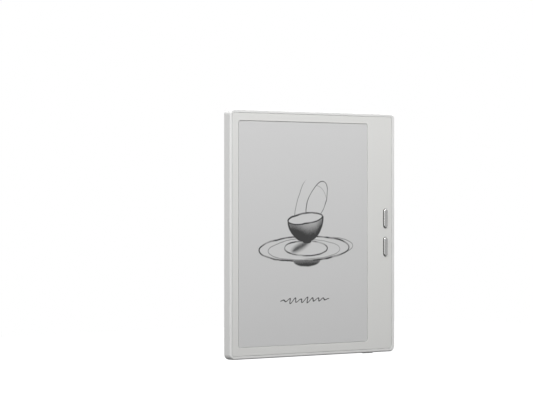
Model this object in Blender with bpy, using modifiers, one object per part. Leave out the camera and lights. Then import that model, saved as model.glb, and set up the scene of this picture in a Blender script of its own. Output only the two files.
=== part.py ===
"""A seven-inch e-reader: off-centre display, two page keys, card tray, USB-C and side speakers.

X runs to the right of the reader as its display is read, Z runs up, and Y runs from the front to
the back. The origin is the centre of the back face. Lengths are in millimetres and MM scales them.
"""

from math import cos, dist, pi, radians, sin

import bmesh
import bpy
from mathutils import Matrix, Vector

MM = 0.001
TINY = 1e-6
SMOOTH_ANGLE = radians(32)
FLAT_ANGLE = radians(0.5)

# Body
WIDTH = 137.0
HEIGHT = 156.0
DEPTH = 6.8
CORNER = 3.5
EDGE_ROUND = 0.95
RIM_FRONT = 2.1
RIM_BACK = 2.0
PLATE_SHIFT = -0.5
POCKET_FLOORS = (-6.0, -1.0)
WALL = 3.2
THROUGH = 12.0

# Planes from the front to the back, as (front, back) along Y
RIM = (-DEPTH, -0.05)
BEZEL = (-6.75, -6.1)
TOUCH_FILM = (-5.95, -5.65)
TOUCH_LAND = (-6.6, -5.85)
LIGHT_GUIDE = (-5.55, -5.05)
EINK_PANEL = (-4.95, -4.25)
MIDPLATE = (-4.15, -3.55)
BATTERY = (-3.4, -1.25)
BOARD = (-3.05, -2.35)
COMPONENTS = (-2.25, -1.25)
COVER = (-0.95, -0.5)
SKIN = (-0.45, 0.0)

# Display
WINDOW = (106.8, 141.6)
WINDOW_CENTRE = (-8.5, 0.1)
WINDOW_CORNER = 1.6
LAND_GAP = 0.25
FILM_BORDER = 2.8
GUIDE_BORDER = 2.4
PANEL_BORDER = 2.0

# Page keys
KEY_X = 60.4
KEY_Z = 9.25
KEY = (3.25, 12.25)
KEY_CLEARANCE = 0.35
KEY_FRONT = -7.45
KEY_FLANGE = (5.2, 14.6)
KEY_FLANGE_PLANES = (-5.95, -5.45)
KEY_PAD = (3.0, 3.0)
KEY_PAD_PLANES = (-5.4, -5.0)
KEY_SWITCH = (4.0, 4.0)
KEY_SWITCH_PLANES = (-4.7, -4.2)
KEY_BOARD_PLANES = (-4.1, -3.8)
KEY_INNER_END = -5.7
KEY_SHELF_PLANES = (-3.7, -3.3)
KEY_SHELF = (56.5, 66.5, -19.0, 19.0)

# Power key on the lower edge
POWER_X = 47.5
POWER_Y = -3.4
POWER_KEY = (8.8, 1.9)
POWER_STAND_OUT = 0.5
POWER_INNER_END = -74.3
POWER_SLOT = (9.15, 2.25)
POWER_FLANGE = (10.8, 1.9)
POWER_FLANGE_PLANES = (-74.65, -74.05)
POWER_SWITCH_LOW = (45.0, -4.1, -73.0)
POWER_SWITCH_HIGH = (50.0, -2.5, -71.1)
SWITCH_NUB = (2.0, 0.9)
SWITCH_NUB_Y = -3.3
SWITCH_NUB_PLANES = (-73.6, -72.6)

# Features of the side behind the wide bezel
USB_Y = -2.95
USB_Z = 68.8
USB_SHELL = (3.2, 8.94)
USB_WALL = 0.3
USB_X = (60.9, 68.1)
USB_HOLE = (3.5, 9.24)
TONGUE_BASE = (2.2, 7.9)
TONGUE_BASE_X = (61.6, 62.8)
TONGUE_BLADE = (0.7, 6.7)
TONGUE_BLADE_X = (62.2, 67.4)
GRILLE_Y = -3.6
GRILLE_HOLE = (2.0, 1.15)
GRILLE_PITCH = 2.03
GRILLE_HOLES = 8
SPEAKERS = {"upper": 53.5, "lower": -61.6}
SPEAKER_X = (54.6, 64.6)
SPEAKER_Y = (-4.9, -1.25)
SPEAKER_HALF = 9.1
MESH = (2.6, 17.0)
MESH_X = (64.8, 65.15)
TRAY_Y = -2.9
TRAY_Z = 27.7
TRAY_CAP = (2.3, 16.05)
TRAY_CAP_X = (67.5, 68.45)
TRAY_RECESS = (2.6, 16.35)
TRAY_RECESS_FLOOR = 67.2
TRAY_BLADE = (-3.05, -2.25)
TRAY_BLADE_X = (47.3, 67.7)
TRAY_BLADE_Z = (20.6, 33.2)
TRAY_SLOT = (1.3, 13.4)
CARD_POCKET = (49.4, 64.6, 21.35, 32.45)
SOCKET_CENTRE = (-2.65, 26.9)
SOCKET = (1.6, 13.8)
SOCKET_X = (46.5, 64.9)
SOCKET_CAVITY = (-3.2, -2.1, 20.3, 33.5)
SOCKET_CAVITY_END = 46.9
PINHOLE_Z = 34.6
PINHOLE = 0.9
EJECT_PASSAGE = 1.1

# Back skins either side of a narrow ridge
RIDGE_X = (42.3, 43.6)
SKIN_GAP = 0.2
SKIN_CORNER = 1.3

# Fasteners
FRAME_SCREWS = ((-61.5, 71.2), (-61.5, -71.2), (20.0, 71.2), (34.0, -71.2))
FRAME_TABS = ((-66.5, -58.3, 68.2, 76.0), (-66.5, -58.3, -76.0, -68.2),
              (16.8, 23.2, 68.2, 76.0), (30.8, 37.2, -76.0, -68.2))
BOARD_SCREWS = ((28.0, 62.0), (28.0, -59.0), (48.5, 49.0), (48.5, -46.0))
TAB_PLANES = (-3.45, -2.75)
SCREW_CLEARANCE = 1.7
SCREW_HOLE = 1.5
SCREW_HEAD_RADIUS = 1.25
SCREW_HEAD_HEIGHT = 0.45
SCREW_SHANK_RADIUS = 0.6
HEAD_GAP = 0.1

LOCAL_TO_WORLD = {
    "X": Matrix(((0, 0, 1), (1, 0, 0), (0, 1, 0))).to_4x4(),
    "Y": Matrix(((1, 0, 0), (0, 0, -1), (0, 1, 0))).to_4x4(),
    "Z": Matrix.Identity(4),
}

WHITE = (0.82, 0.82, 0.80)
SILVER = (0.62, 0.62, 0.63)
STEEL = (0.50, 0.51, 0.53)
BLACK = (0.03, 0.03, 0.035)
GREEN = (0.03, 0.16, 0.09)
AMBER = (0.55, 0.28, 0.08)


for old in list(bpy.data.objects):
    bpy.data.objects.remove(old)

parts = bpy.data.collections.new("e_reader")
cutters = bpy.data.collections.new("cutters")
bpy.context.scene.collection.children.link(parts)
bpy.context.scene.collection.children.link(cutters)


def material(name, color, roughness=0.5, metallic=0.0):
    """A Principled material in one colour."""
    made = bpy.data.materials.new(name)
    made.use_nodes = True
    shader = made.node_tree.nodes["Principled BSDF"]
    shader.inputs["Base Color"].default_value = (*color, 1.0)
    shader.inputs["Roughness"].default_value = roughness
    shader.inputs["Metallic"].default_value = metallic
    return made


def add(name, mesh, finish=None):
    """Link a mesh as a part with its finish, or as a hidden cutter when it has none."""
    made = bpy.data.objects.new(name, mesh)
    if finish:
        mesh.materials.append(material(name, *finish))
        mesh.shade_smooth()
        mesh.set_sharp_from_angle(angle=SMOOTH_ANGLE)
        parts.objects.link(made)
    else:
        made.hide_render = True
        made.display_type = "WIRE"
        cutters.objects.link(made)
    return made


def rounded(width, height, radius, centre=(0.0, 0.0), steps=6):
    """Outline of a rectangle with round corners; a radius of half a side makes a pill."""
    outline = []
    for quarter, (side_u, side_v) in enumerate(((1, 1), (-1, 1), (-1, -1), (1, -1))):
        u = centre[0] + side_u * (width / 2 - radius)
        v = centre[1] + side_v * (height / 2 - radius)
        for step in range(steps + 1):
            turn = pi / 2 * (quarter + step / steps)
            point = (u + radius * cos(turn), v + radius * sin(turn))
            if not outline or dist(point, outline[-1]) > TINY:
                outline.append(point)
    if dist(outline[0], outline[-1]) < TINY:
        outline.pop()
    return outline


def rectangle(low_u, high_u, low_v, high_v):
    """Outline of a plain rectangle."""
    return [(high_u, high_v), (low_u, high_v), (low_u, low_v), (high_u, low_v)]


def plate(name, outlines, facing, planes, finish=None):
    """Extrude flat outlines between two planes across an axis; an outline inside another is a hole."""
    low, high = planes
    curve = bpy.data.curves.new(name, "CURVE")
    curve.dimensions = "2D"
    curve.fill_mode = "BOTH"
    curve.extrude = (high - low) / 2 * MM
    for outline in outlines:
        spline = curve.splines.new("POLY")
        spline.points.add(len(outline) - 1)
        for point, (u, v) in zip(spline.points, outline):
            point.co = (u * MM, v * MM, 0.0, 1.0)
        spline.use_cyclic_u = True
    flat = bpy.data.objects.new(name, curve)
    cutters.objects.link(flat)
    bpy.context.view_layer.update()
    mesh = bpy.data.meshes.new_from_object(flat.evaluated_get(bpy.context.evaluated_depsgraph_get()))
    bpy.data.objects.remove(flat)
    middle = Vector((0.0, 0.0, 0.0))
    middle["XYZ".index(facing)] = (low + high) / 2 * MM
    mesh.transform(Matrix.Translation(middle) @ LOCAL_TO_WORLD[facing])
    bm = bmesh.new()
    bm.from_mesh(mesh)
    bmesh.ops.remove_doubles(bm, verts=bm.verts, dist=TINY)
    if len(outlines) == 1:
        bmesh.ops.dissolve_limit(bm, angle_limit=FLAT_ANGLE, verts=[], edges=bm.edges)
    bmesh.ops.recalc_face_normals(bm, faces=bm.faces)
    bm.to_mesh(mesh)
    bm.free()
    return add(name, mesh, finish)


def block(name, low, high, finish=None, round_by=0.0):
    """A box between two corners, all of its edges rounded when round_by is given."""
    bm = bmesh.new()
    bmesh.ops.create_cube(bm, size=1.0)
    size = Vector(high) - Vector(low)
    middle = (Vector(high) + Vector(low)) / 2
    bmesh.ops.scale(bm, vec=size * MM, verts=bm.verts)
    bmesh.ops.translate(bm, vec=middle * MM, verts=bm.verts)
    mesh = bpy.data.meshes.new(name)
    bm.to_mesh(mesh)
    bm.free()
    made = add(name, mesh, finish)
    if round_by:
        bevel(made, round_by, 2)
    return made


def bevel(target, width, segments):
    """Round the sharp edges of a part."""
    modifier = target.modifiers.new("rounding", "BEVEL")
    modifier.limit_method = "ANGLE"
    modifier.angle_limit = SMOOTH_ANGLE
    modifier.width = width * MM
    modifier.segments = segments


def combine(target, tool, operation):
    """Cut a hidden solid out of a part, or join it on."""
    modifier = target.modifiers.new(tool.name, "BOOLEAN")
    modifier.operation = operation
    modifier.solver = "EXACT"
    modifier.object = tool


def cut(target, name, outlines, facing, planes):
    """Cut extruded outlines out of a part."""
    combine(target, plate(name, outlines, facing, planes), "DIFFERENCE")


def join(target, name, outlines, facing, planes):
    """Join extruded outlines onto a part."""
    combine(target, plate(name, outlines, facing, planes), "UNION")


def set_origin(target, place):
    """Move a part's origin without moving its shape."""
    point = Vector(place) * MM
    target.data.transform(Matrix.Translation(-point))
    target.location = point


def attach(child, parent):
    """Parent a part that already lies in its place."""
    child.parent = parent
    child.matrix_parent_inverse = Matrix.Translation(-parent.location)


def inset(amount, radius, shift=0.0):
    """The body's outline moved in by an amount, and sideways by a shift."""
    return rounded(WIDTH - 2 * amount, HEIGHT - 2 * amount, radius, (shift, 0.0), steps=5)


def around_window(border, radius=0.8):
    """The display window's outline grown by a border."""
    return rounded(WINDOW[0] + 2 * border, WINDOW[1] + 2 * border, radius, WINDOW_CENTRE, steps=3)


def circle(u, v, diameter, steps=3):
    """Outline of a round hole."""
    return rounded(diameter, diameter, diameter / 2, (u, v), steps)


def grille_holes(centre_z):
    """Outlines of one row of sound holes, in the plane of the side wall."""
    first = centre_z - GRILLE_PITCH * (GRILLE_HOLES - 1) / 2
    return [rounded(*GRILLE_HOLE, GRILLE_HOLE[1] / 2, (GRILLE_Y, first + GRILLE_PITCH * count), 2)
            for count in range(GRILLE_HOLES)]


# --- Mid frame: the moulded rim with its pockets, ledges, tabs and openings ---
SIDE = WIDTH / 2
TOP = HEIGHT / 2
TO_OUTSIDE = 72.0
TO_BELOW = -80.0

frame = plate("mid_frame", [rounded(WIDTH, HEIGHT, CORNER, steps=6)], "Y", RIM, (WHITE, 0.42))
bevel(frame, EDGE_ROUND, 3)
cut(frame, "bezel_pocket", [inset(RIM_FRONT, 1.4, PLATE_SHIFT)], "Y", (-THROUGH, POCKET_FLOORS[0]))
cut(frame, "cover_pocket", [inset(RIM_BACK, 1.6)], "Y", (POCKET_FLOORS[1], THROUGH))
cut(frame, "inner_opening", [inset(WALL, 1.0)], "Y", (-THROUGH, THROUGH))
join(frame, "screw_tabs", [rectangle(*tab) for tab in FRAME_TABS], "Y", TAB_PLANES)
join(frame, "key_shelf", [rectangle(*KEY_SHELF)], "Y", KEY_SHELF_PLANES)
cut(frame, "tab_holes", [circle(x, z, SCREW_CLEARANCE) for x, z in FRAME_SCREWS], "Y", (-3.6, -2.6))
cut(frame, "usb_hole", [rounded(*USB_HOLE, USB_HOLE[0] / 2, (USB_Y, USB_Z), 5)], "X", (60.0, TO_OUTSIDE))
cut(frame, "sound_holes", [hole for z in SPEAKERS.values() for hole in grille_holes(z)],
    "X", (64.0, TO_OUTSIDE))
cut(frame, "tray_recess", [rounded(*TRAY_RECESS, 0.7, (TRAY_Y, TRAY_Z), 3)],
    "X", (TRAY_RECESS_FLOOR, TO_OUTSIDE))
cut(frame, "tray_slot", [rounded(*TRAY_SLOT, 0.3, SOCKET_CENTRE, 2)], "X", (64.0, 68.0))
cut(frame, "eject_passage", [circle(TRAY_Y, PINHOLE_Z, EJECT_PASSAGE)], "X", (64.0, 68.0))
cut(frame, "power_slot", [rounded(*POWER_SLOT, 1.1, (POWER_X, POWER_Y), 4)], "Z", (TO_BELOW, -74.0))

# --- Front bezel: the plate inside the rim, with the window and the key slots ---
PLATE_GAP = 0.2
KEY_SLOT = (KEY[0] + 2 * KEY_CLEARANCE, KEY[1] + 2 * KEY_CLEARANCE)
bezel_openings = [rounded(*WINDOW, WINDOW_CORNER, WINDOW_CENTRE, 4)]
bezel_openings += [rounded(*KEY_SLOT, KEY_SLOT[0] / 2, (KEY_X, side * KEY_Z), 5) for side in (1, -1)]
plate("front_bezel", [inset(RIM_FRONT + PLATE_GAP, 1.2, PLATE_SHIFT), *bezel_openings], "Y", BEZEL,
      (WHITE, 0.5))

# --- Display stack: touch film, light guide, e-ink panel and the light strip under the guide ---
# The film's land fills the window with a narrow gap, almost level with the bezel.
film = plate("touch_film", [around_window(FILM_BORDER)], "Y", TOUCH_FILM, ((0.60, 0.60, 0.59), 0.35))
join(film, "film_land", [around_window(-LAND_GAP, WINDOW_CORNER - LAND_GAP)], "Y", TOUCH_LAND)
plate("light_guide", [around_window(GUIDE_BORDER)], "Y", LIGHT_GUIDE, ((0.85, 0.88, 0.90), 0.1))
plate("eink_panel", [around_window(PANEL_BORDER)], "Y", EINK_PANEL, ((0.62, 0.62, 0.60), 0.6))
STRIP_X = (-60.0, 42.0)
STRIP_Z = (-74.5, -73.5)
block("front_light_strip", (STRIP_X[0], LIGHT_GUIDE[0], STRIP_Z[0]), (STRIP_X[1], LIGHT_GUIDE[1], STRIP_Z[1]),
      ((0.75, 0.72, 0.45), 0.5))

# --- Midplate: the metal sheet between display and electronics, notched for the deep parts ---
BOSS = 3.4
BOSS_PLANES = (-3.7, -3.15)
MIDPLATE_GAP = 0.3
midplate_notches = {
    "usb": rectangle(60.0, TO_OUTSIDE, 63.4, 80.0),
    "upper_speaker": rectangle(54.0, TO_OUTSIDE, 43.8, 63.2),
    "key_board": rectangle(53.0, TO_OUTSIDE, -19.5, 19.5),
    "lower_speaker": rectangle(54.0, TO_OUTSIDE, -71.4, -51.8),
    "power_switch": rectangle(41.5, 53.5, TO_BELOW, -69.6),
    "touch_flex": rectangle(54.2, 56.4, -31.0, -21.0),
}
midplate = plate("midplate", [inset(WALL + MIDPLATE_GAP, 1.0)], "Y", MIDPLATE, (STEEL, 0.4, 0.9))
for name, notch in midplate_notches.items():
    cut(midplate, f"midplate_notch_{name}", [notch], "Y", (-5.0, -3.0))
join(midplate, "bosses", [circle(x, z, BOSS) for x, z in BOARD_SCREWS], "Y", BOSS_PLANES)
cut(midplate, "midplate_holes", [circle(x, z, SCREW_HOLE) for x, z in FRAME_SCREWS + BOARD_SCREWS],
    "Y", (-5.0, -2.0))

# --- Main board: one outline round the USB notch, the speakers, the card socket and the power key ---
board_outline = [
    (24.0, -64.0), (43.0, -64.0), (43.0, -70.8), (52.5, -70.8), (52.5, -51.2), (64.0, -51.2),
    (64.0, 19.2), (45.6, 19.2), (45.6, 34.6), (64.0, 34.6), (64.0, 43.2), (52.5, 43.2),
    (52.5, 63.6), (60.3, 63.6), (60.3, 73.8), (24.0, 73.8),
]
flex_slots = [
    rectangle(53.4, 55.2, -12.0, 12.0),
    rectangle(54.6, 56.2, -31.0, -21.0),
    rectangle(54.8, 56.3, 13.2, 17.4),
]
board_holes = [circle(x, z, SCREW_CLEARANCE) for x, z in BOARD_SCREWS]
plate("main_board", [board_outline, *flex_slots, *board_holes], "Y", BOARD, (GREEN, 0.45))

board_parts = {
    "processor_shield": ((27.0, 20.0), (44.0, 42.0), (STEEL, 0.35, 0.9)),
    "radio_shield": ((27.0, 46.0), (40.0, 58.0), (STEEL, 0.35, 0.9)),
    "memory_chip": ((27.5, 3.0), (39.0, 16.0), (BLACK, 0.45)),
    "power_chip": ((28.0, -30.0), (36.0, -22.0), (BLACK, 0.45)),
    "motion_sensor": ((41.0, -40.0), (44.0, -37.0), (BLACK, 0.45)),
    "display_connector": ((45.6, -11.0), (51.0, 11.0), ((0.55, 0.50, 0.42), 0.5)),
    "touch_connector": ((47.0, -30.0), (52.2, -22.0), ((0.55, 0.50, 0.42), 0.5)),
}
for name, ((x_low, z_low), (x_high, z_high), finish) in board_parts.items():
    block(name, (x_low, COMPONENTS[0], z_low), (x_high, COMPONENTS[1], z_high), finish, 0.15)


# --- Flexes: thin printed ribbons bent round the edge of the board ---
def ribbon(name, path, z_low, z_high, thickness=0.14):
    """A bent ribbon: an open strip along a path in X and Y, given its thickness by Solidify."""
    bm = bmesh.new()
    line = [bm.verts.new((x * MM, y * MM, z_low * MM)) for x, y in path]
    edges = [bm.edges.new(pair) for pair in zip(line, line[1:])]
    swept = bmesh.ops.extrude_edge_only(bm, edges=edges)["geom"]
    raised = [item for item in swept if isinstance(item, bmesh.types.BMVert)]
    bmesh.ops.translate(bm, vec=(0.0, 0.0, (z_high - z_low) * MM), verts=raised)
    mesh = bpy.data.meshes.new(name)
    bm.to_mesh(mesh)
    bm.free()
    made = add(name, mesh, (AMBER, 0.4))
    modifier = made.modifiers.new("thickness", "SOLIDIFY")
    modifier.thickness = thickness * MM
    modifier.offset = 0.0
    return made


ribbon("display_flex", [(47.2, -4.6), (53.3, -4.6), (54.3, -3.9), (54.3, -2.5), (53.6, -1.75), (51.3, -1.75)],
       -10.0, 10.0)
ribbon("touch_flex", [(48.0, -5.8), (54.6, -5.8), (55.4, -5.1), (55.4, -2.5), (54.7, -1.75), (52.5, -1.75)],
       -29.0, -23.0)
ribbon("key_flex", [(56.8, -3.95), (56.0, -3.7), (55.6, -3.2), (55.6, -2.4), (54.8, -2.1), (50.0, -2.1)],
       13.8, 16.8)

# --- Battery, its protection board and its lead ---
block("battery", (-52.0, BATTERY[0], -50.0), (16.0, BATTERY[1], 46.0), ((0.30, 0.31, 0.33), 0.4), 0.5)
block("battery_board", (-30.0, -3.2, 46.4), (-2.0, -2.3, 50.4), (GREEN, 0.5))
block("battery_plug", (26.0, -2.25, -15.0), (31.0, -1.25, -8.0), ((0.75, 0.74, 0.70), 0.5))


def lead(name, route, diameter, finish):
    """A round lead along a list of points."""
    curve = bpy.data.curves.new(name, "CURVE")
    curve.dimensions = "3D"
    curve.bevel_depth = diameter / 2 * MM
    curve.bevel_resolution = 2
    curve.use_fill_caps = True
    spline = curve.splines.new("POLY")
    spline.points.add(len(route) - 1)
    for point, (x, y, z) in zip(spline.points, route):
        point.co = (x * MM, y * MM, z * MM, 1.0)
    curve.materials.append(material(name, *finish))
    parts.objects.link(bpy.data.objects.new(name, curve))


lead("battery_lead", [(-1.5, -2.0, 48.4), (6.0, -2.0, 48.4), (14.0, -2.0, 48.2), (18.4, -2.0, 46.4),
                      (20.0, -2.0, 42.0), (20.2, -2.0, 20.0), (20.2, -2.0, -4.0), (21.2, -1.9, -9.4),
                      (23.4, -1.75, -11.4), (25.6, -1.75, -11.5)], 1.1, ((0.5, 0.02, 0.02), 0.5))

# --- Page keys: a metal pill on a wide flange, a rubber pad under it and a switch ---
for level, side in (("upper", 1), ("lower", -1)):
    z = side * KEY_Z
    outline = rounded(*KEY, KEY[0] / 2, (KEY_X, z), 6)
    key = plate(f"page_key_{level}", [outline], "Y", (KEY_FRONT, KEY_INNER_END), (SILVER, 0.25, 1.0))
    flange = rounded(*KEY_FLANGE, KEY_FLANGE[0] / 2, (KEY_X, z), 4)
    set_origin(key, (KEY_X, BEZEL[0], z))
    bevel(key, 0.5, 3)
    join(key, f"key_flange_{level}", [flange], "Y", KEY_FLANGE_PLANES)
    pad = plate(f"page_key_pad_{level}", [rounded(*KEY_PAD, 0.6, (KEY_X, z), 2)], "Y", KEY_PAD_PLANES,
                (BLACK, 0.8))
    attach(pad, key)
    plate(f"page_switch_{level}", [rounded(*KEY_SWITCH, 0.5, (KEY_X, z), 2)], "Y", KEY_SWITCH_PLANES,
          (STEEL, 0.35, 0.9))
block("page_switch_board", (57.1, KEY_BOARD_PLANES[0], -18.0), (64.8, KEY_BOARD_PLANES[1], 18.0),
      (GREEN, 0.5))

# --- Power key: a bar through the lower wall on a longer flange, and its side-push switch ---
POWER_FACE = -TOP - POWER_STAND_OUT
power_key = plate("power_key", [rounded(*POWER_KEY, POWER_KEY[1] / 2, (POWER_X, POWER_Y), 5)], "Z",
                  (POWER_FACE, POWER_INNER_END), (STEEL, 0.35, 0.9))
set_origin(power_key, (POWER_X, POWER_Y, -TOP))
bevel(power_key, 0.2, 2)
join(power_key, "power_flange", [rounded(*POWER_FLANGE, 0.3, (POWER_X, POWER_Y), 2)],
     "Z", POWER_FLANGE_PLANES)
power_switch = block("power_switch", POWER_SWITCH_LOW, POWER_SWITCH_HIGH, (STEEL, 0.35, 0.9))
join(power_switch, "switch_nub", [rounded(*SWITCH_NUB, 0.2, (POWER_X, SWITCH_NUB_Y), 2)],
     "Z", SWITCH_NUB_PLANES)

# --- USB-C socket: a drawn shell, closed behind, with its tongue ---
shell = plate("usb_c_shell", [rounded(*USB_SHELL, USB_SHELL[0] / 2, (USB_Y, USB_Z), 6)], "X", USB_X,
              (SILVER, 0.3, 1.0))
bore = [size - 2 * USB_WALL for size in USB_SHELL]
cut(shell, "usb_bore", [rounded(*bore, bore[0] / 2, (USB_Y, USB_Z), 6)], "X", (USB_X[0] + 0.4, TO_OUTSIDE))
tongue = plate("usb_c_tongue", [rounded(*TONGUE_BASE, 1.0, (USB_Y, USB_Z), 4)], "X", TONGUE_BASE_X,
               (BLACK, 0.5))
join(tongue, "tongue_blade", [rounded(*TONGUE_BLADE, 0.3, (USB_Y, USB_Z), 2)], "X", TONGUE_BLADE_X)

# --- Card socket and its tray: the blade carries the card, the cap closes the wall ---
socket = plate("card_socket", [rounded(*SOCKET, 0.2, SOCKET_CENTRE, 2)], "X", SOCKET_X, (STEEL, 0.35, 0.9))
cut(socket, "socket_cavity", [rectangle(*SOCKET_CAVITY)], "X", (SOCKET_CAVITY_END, TO_OUTSIDE))
tray = plate("card_tray", [rounded(*TRAY_CAP, 0.6, (TRAY_Y, TRAY_Z), 3)], "X", TRAY_CAP_X, (WHITE, 0.42))
set_origin(tray, (SIDE, TRAY_Y, TRAY_Z))
join(tray, "tray_blade", [rectangle(*TRAY_BLADE_X, *TRAY_BLADE_Z)], "Y", TRAY_BLADE)
cut(tray, "card_pocket", [rectangle(*CARD_POCKET)], "Y", (-5.0, -1.0))
cut(tray, "pinhole", [circle(TRAY_Y, PINHOLE_Z, PINHOLE)], "X", (60.0, TO_OUTSIDE))

# --- Speakers behind the sound holes, each with a mesh against dust ---
for level, z in SPEAKERS.items():
    block(f"speaker_{level}", (SPEAKER_X[0], SPEAKER_Y[0], z - SPEAKER_HALF),
          (SPEAKER_X[1], SPEAKER_Y[1], z + SPEAKER_HALF), (BLACK, 0.5), 0.4)
    plate(f"speaker_mesh_{level}", [rounded(*MESH, 0.4, (GRILLE_Y, z), 2)], "X", MESH_X,
          ((0.05, 0.05, 0.05), 0.7, 0.5))

# --- Antenna film and its lead ---
block("antenna", (-50.0, -1.3, 58.0), (-18.0, -1.1, 70.0), (AMBER, 0.4))
lead("antenna_lead", [(-17.5, -1.6, 64.0), (-8.0, -1.8, 64.5), (4.0, -2.0, 66.0), (14.0, -2.0, 66.6),
                      (22.0, -1.8, 64.0), (26.0, -1.8, 60.2), (29.4, -1.8, 59.0)], 0.8, (BLACK, 0.5))


# --- Screws: turned heads and shanks, driven from the back ---
def screw(name, x, z, head_front, reach):
    """A pan-head screw whose head rests at head_front and whose shank reaches towards the front."""
    profile = [
        (0.0, SCREW_HEAD_HEIGHT),
        (SCREW_HEAD_RADIUS * 0.7, SCREW_HEAD_HEIGHT),
        (SCREW_HEAD_RADIUS, SCREW_HEAD_HEIGHT * 0.55),
        (SCREW_HEAD_RADIUS, 0.0),
        (SCREW_SHANK_RADIUS, 0.0),
        (SCREW_SHANK_RADIUS, -reach),
        (0.0, -reach),
    ]
    bm = bmesh.new()
    line = [bm.verts.new((radius * MM, 0.0, height * MM)) for radius, height in profile]
    for pair in zip(line, line[1:]):
        bm.edges.new(pair)
    mesh = bpy.data.meshes.new(name)
    bm.to_mesh(mesh)
    bm.free()
    made = add(name, mesh, (STEEL, 0.35, 1.0))
    made.location = Vector((x, head_front, z)) * MM
    made.rotation_euler = (-pi / 2, 0.0, 0.0)
    modifier = made.modifiers.new("turning", "SCREW")
    modifier.steps = 12
    modifier.render_steps = 12
    modifier.use_merge_vertices = True
    modifier.merge_threshold = TINY


for number, (x, z) in enumerate(FRAME_SCREWS, 1):
    screw(f"frame_screw_{number}", x, z, TAB_PLANES[1] + HEAD_GAP, 1.3)
for number, (x, z) in enumerate(BOARD_SCREWS, 1):
    screw(f"board_screw_{number}", x, z, BOARD[1] + HEAD_GAP, 1.6)

# --- Back: a cover sheet with a narrow ridge, and a textured skin on each side of the ridge ---
cover = plate("back_cover", [inset(RIM_BACK + PLATE_GAP, 1.4)], "Y", COVER, (WHITE, 0.5))
SKIN_TOP = TOP - RIM_BACK - SKIN_GAP
SKIN_SIDE = SIDE - RIM_BACK - SKIN_GAP
RIDGE_PLANES = (-0.7, -0.05)
join(cover, "ridge", [rectangle(*RIDGE_X, -SKIN_TOP + PLATE_GAP, SKIN_TOP - PLATE_GAP)], "Y", RIDGE_PLANES)
for name, low, high in (("back_skin_wide", -SKIN_SIDE, RIDGE_X[0] - SKIN_GAP),
                        ("back_skin_strip", RIDGE_X[1] + SKIN_GAP, SKIN_SIDE)):
    outline = rounded(high - low, 2 * SKIN_TOP, SKIN_CORNER, ((low + high) / 2, 0.0), 4)
    bevel(plate(name, [outline], "Y", SKIN, (WHITE, 0.7)), 0.12, 1)
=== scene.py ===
from math import cos, pi, radians, sin, tau

import bmesh
import bpy
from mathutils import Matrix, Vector


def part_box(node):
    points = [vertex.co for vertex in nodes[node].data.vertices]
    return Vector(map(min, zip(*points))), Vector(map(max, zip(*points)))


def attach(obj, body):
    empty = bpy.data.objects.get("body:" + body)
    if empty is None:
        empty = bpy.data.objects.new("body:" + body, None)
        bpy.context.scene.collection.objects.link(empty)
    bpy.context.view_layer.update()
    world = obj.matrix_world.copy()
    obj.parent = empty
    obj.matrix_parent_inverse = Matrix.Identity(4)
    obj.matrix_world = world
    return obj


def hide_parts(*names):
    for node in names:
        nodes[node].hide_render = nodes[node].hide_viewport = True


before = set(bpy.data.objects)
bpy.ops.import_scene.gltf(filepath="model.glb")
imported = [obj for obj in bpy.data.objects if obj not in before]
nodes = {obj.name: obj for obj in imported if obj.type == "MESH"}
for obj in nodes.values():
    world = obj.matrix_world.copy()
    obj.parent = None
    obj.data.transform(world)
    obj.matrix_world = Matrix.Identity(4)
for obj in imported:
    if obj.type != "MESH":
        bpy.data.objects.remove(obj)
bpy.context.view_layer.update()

# ---------------------------------------------------------------- Camera
# A long lens, level with the reader and turned to its left, so the display is seen from the front
# left and the upright edges stay parallel.
CAMERA_PLACE = (-0.93315, -1.11728, 0.02135)
CAMERA_TURN = radians(38.82)
camera = bpy.data.objects.new("camera", bpy.data.cameras.new("camera"))
camera.data.sensor_width = 36.0
camera.data.lens = 153.44
camera.data.clip_start = 0.05
camera.data.clip_end = 60.0
camera.location = CAMERA_PLACE
camera.rotation_euler = (radians(90), 0.0, -CAMERA_TURN)
bpy.context.scene.collection.objects.link(camera)
bpy.context.scene.camera = camera
bpy.context.scene.view_settings.view_transform = "Standard"


# ---------------------------------------------------------------- Studio
# White surroundings, one large soft light above the camera, and smaller ones above, behind and at both
# sides. The floor and the air look white, and what they throw back on the object is held low, as with
# a black cloth laid below the set. Lengths here are in metres.
FLOOR_LEVEL = -0.15
FLOOR_REACH = 1.3
FLOOR_PAINT = 0.3
FLOOR_GLOW = 0.82
CLOTH_DARK = 0.025
CLOTH_GAIN = 0.25
CLOTH_EDGE = (0.22, 0.45)
AIR_GLOW = 0.145
# Each: azimuth, elevation, angle within which it is full, angle beyond which it is gone, strength.
WALL_GLOWS = ((0.0, 90.0, 10.0, 85.0, 0.62), (-67.0, 8.0, 10.0, 62.0, 0.93), (52.0, 5.0, 10.0, 60.0, 0.35),
              (180.0, 15.0, 20.0, 80.0, 0.2))


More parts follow.
